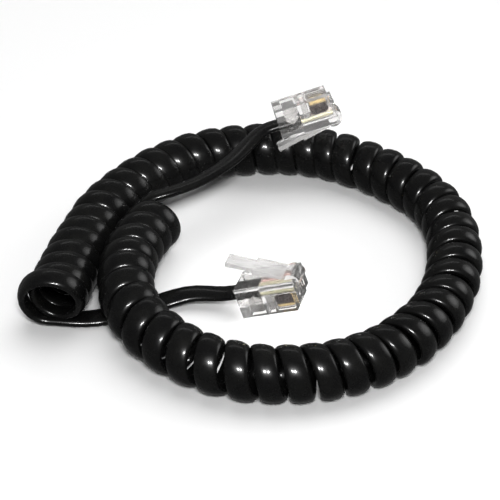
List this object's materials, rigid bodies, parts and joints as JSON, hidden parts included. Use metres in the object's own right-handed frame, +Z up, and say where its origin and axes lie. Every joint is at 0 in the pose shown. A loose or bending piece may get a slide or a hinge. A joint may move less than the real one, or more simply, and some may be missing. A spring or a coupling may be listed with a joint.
{
  "type": "coiled telephone handset cord",
  "caption": "Coiled flat telephone handset cord lying in a loop, with a clear latching modular plug at each end.",
  "frame": {"origin": "middle of the bounding box in X and Y, on the plane that the cord lies on", "axes": "+X the long way across the loop, +Y towards the back of the loop, +Z up"},
  "size_m": [0.0918, 0.0845, 0.0228],
  "materials": {
    "cord_jacket": "glossy black PVC",
    "clear_plastic": "clear polished polycarbonate",
    "contact_gold": "gold plate over phosphor bronze",
    "conductor_copper": "copper tinsel",
    "wire_black": "insulation",
    "wire_red": "insulation",
    "wire_green": "insulation",
    "wire_yellow": "insulation"
  },
  "bodies": {
    "cord": {"coil": "cord_jacket", "tail_a": "cord_jacket", "tail_b": "cord_jacket", "plug_a_housing": "clear_plastic", "plug_a_jacket_end": "cord_jacket", "plug_a_jacket_clamp": "clear_plastic", "plug_a_wire_clamp": "clear_plastic", "plug_a_wire_1": "wire_yellow", "plug_a_conductor_1": "conductor_copper", "plug_a_contact_1": "contact_gold", "plug_a_wire_2": "wire_green", "plug_a_conductor_2": "conductor_copper", "plug_a_contact_2": "contact_gold", "plug_a_wire_3": "wire_red", "plug_a_conductor_3": "conductor_copper", "plug_a_contact_3": "contact_gold", "plug_a_wire_4": "wire_black", "plug_a_conductor_4": "conductor_copper", "plug_a_contact_4": "contact_gold", "plug_b_housing": "clear_plastic", "plug_b_jacket_end": "cord_jacket", "plug_b_jacket_clamp": "clear_plastic", "plug_b_wire_clamp": "clear_plastic", "plug_b_wire_1": "wire_black", "plug_b_conductor_1": "conductor_copper", "plug_b_contact_1": "contact_gold", "plug_b_wire_2": "wire_red", "plug_b_conductor_2": "conductor_copper", "plug_b_contact_2": "contact_gold", "plug_b_wire_3": "wire_green", "plug_b_conductor_3": "conductor_copper", "plug_b_contact_3": "contact_gold", "plug_b_wire_4": "wire_yellow", "plug_b_conductor_4": "conductor_copper", "plug_b_contact_4": "contact_gold"},
    "plug_a_latch": {"plug_a_latch": "clear_plastic"},
    "plug_b_latch": {"plug_b_latch": "clear_plastic"}
  },
  "joints": [
    {"name": "plug_a_latch_hinge", "type": "hinge", "parent": "cord", "child": "plug_a_latch", "pos_m": [0.0059, -0.01211, 0.01047], "axis": [-0.2566, -0.9623, 0.0898], "range_deg": [0, 18], "stiffness_Nm_per_rad": 0.1},
    {"name": "plug_b_latch_hinge", "type": "hinge", "parent": "cord", "child": "plug_b_latch", "pos_m": [0.01555, 0.03306, 0.01508], "axis": [-0.1096, 0.9573, -0.2675], "range_deg": [0, 6], "stiffness_Nm_per_rad": 0.1}
  ]
}
